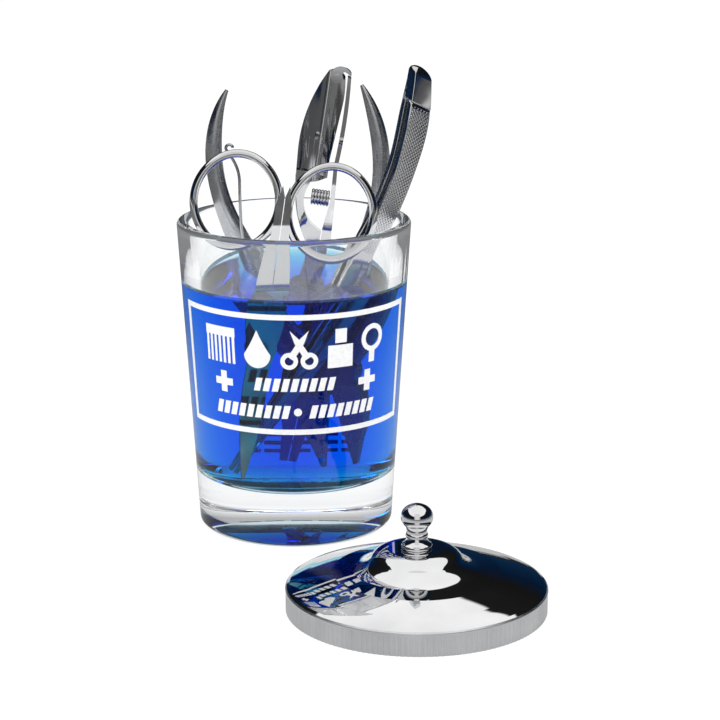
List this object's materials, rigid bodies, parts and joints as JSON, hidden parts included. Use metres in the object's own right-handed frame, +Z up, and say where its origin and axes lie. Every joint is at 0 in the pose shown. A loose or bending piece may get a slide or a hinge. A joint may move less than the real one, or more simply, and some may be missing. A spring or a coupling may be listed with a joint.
{
  "type": "disinfectant jar",
  "caption": "Small tapered glass jar of disinfectant with white printed marks, a chromed domed lid with a knob, and manicure tools standing in it.",
  "frame": {"origin": "centre of the jar's round foot, on the plane that the foot and the lid stand on", "axes": "+Z up along the jar's axis, -Y out of the printed front, +X to the right seen from the front"},
  "size_m": [0.1002, 0.1405, 0.1316],
  "materials": {
    "jar_glass": "clear pressed glass, fire polished",
    "white_enamel": "fired white screen print",
    "lid_chrome": "mirror chrome plate",
    "skirt_satin": "satin chrome with fine upright flutes",
    "plain_steel": "zinc plated",
    "polished_steel": "polished stainless steel",
    "satin_steel": "satin stainless steel",
    "spring_steel": "bright spring wire",
    "grip_steel": "polished with a diamond knurled grip"
  },
  "bodies": {
    "jar": {"glass_jar": "jar_glass", "front_frame": "white_enamel", "front_pictures": "white_enamel", "front_bars": "white_enamel", "back_marks": "white_enamel"},
    "lid": {"lid_dome": "lid_chrome", "lid_skirt": "skirt_satin", "lid_knob": "lid_chrome", "lid_washer": "plain_steel", "lid_screw": "plain_steel"},
    "scissors": {"scissors_left": "polished_steel", "scissors_screw": "polished_steel"},
    "scissors_blade": {"scissors_right": "polished_steel"},
    "nipper": {"nipper_left": "satin_steel", "nipper_rivet": "polished_steel", "nipper_spring": "spring_steel", "nipper_spring_screw": "polished_steel"},
    "nipper_arm": {"nipper_right": "satin_steel"},
    "plier": {"plier_left": "polished_steel", "plier_rivet": "polished_steel", "plier_spring": "spring_steel", "plier_clasp_pin": "polished_steel"},
    "plier_arm": {"plier_right": "polished_steel"},
    "clasp": {"plier_clasp": "polished_steel"},
    "tweezers": {"tweezers_fixed": "grip_steel"},
    "tweezers_arm": {"tweezers_moving": "grip_steel"}
  },
  "joints": [
    {"name": "lid_lift", "type": "slide", "parent": "jar", "child": "lid", "axis": [0, 0, 1], "range_m": [0, 0.1]},
    {"name": "scissors_lift", "type": "slide", "parent": "jar", "child": "scissors", "axis": [0.1387, 0.0847, 0.9867], "range_m": [0, 0.09]},
    {"name": "nipper_lift", "type": "slide", "parent": "jar", "child": "nipper", "axis": [-0.0815, 0.0086, 0.9966], "range_m": [0, 0.09]},
    {"name": "plier_lift", "type": "slide", "parent": "jar", "child": "plier", "axis": [0.1426, 0, 0.9898], "range_m": [0, 0.09]},
    {"name": "tweezers_lift", "type": "slide", "parent": "jar", "child": "tweezers", "axis": [0.4769, 0.0332, 0.8783], "range_m": [0, 0.09]},
    {"name": "scissors_open", "type": "hinge", "parent": "scissors", "child": "scissors_blade", "pos_m": [-0.00775, -0.0145, 0.056], "axis": [-0.0118, 0.9964, -0.0839], "range_deg": [0, 3]},
    {"name": "nipper_squeeze", "type": "hinge", "parent": "nipper", "child": "nipper_arm", "pos_m": [0.0065, 0.006, 0.045], "axis": [0.1045, 0.9945, 0], "range_deg": [-10.8, 0]},
    {"name": "plier_open", "type": "hinge", "parent": "plier", "child": "plier_arm", "pos_m": [0.0033, 0.0136, 0.0532], "axis": [0, 1, 0], "range_deg": [0, 8]},
    {"name": "plier_clasp", "type": "hinge", "parent": "plier", "child": "clasp", "pos_m": [0.01202, 0.0136, 0.1263], "axis": [0, 1, 0], "range_deg": [-60, 0]},
    {"name": "tweezers_squeeze", "type": "hinge", "parent": "tweezers", "child": "tweezers_arm", "pos_m": [0.035, -0.00419, 0.1208], "axis": [0.761, 0.4845, -0.4315], "range_deg": [0, 0.85], "stiffness_Nm_per_rad": 1.5}
  ]
}
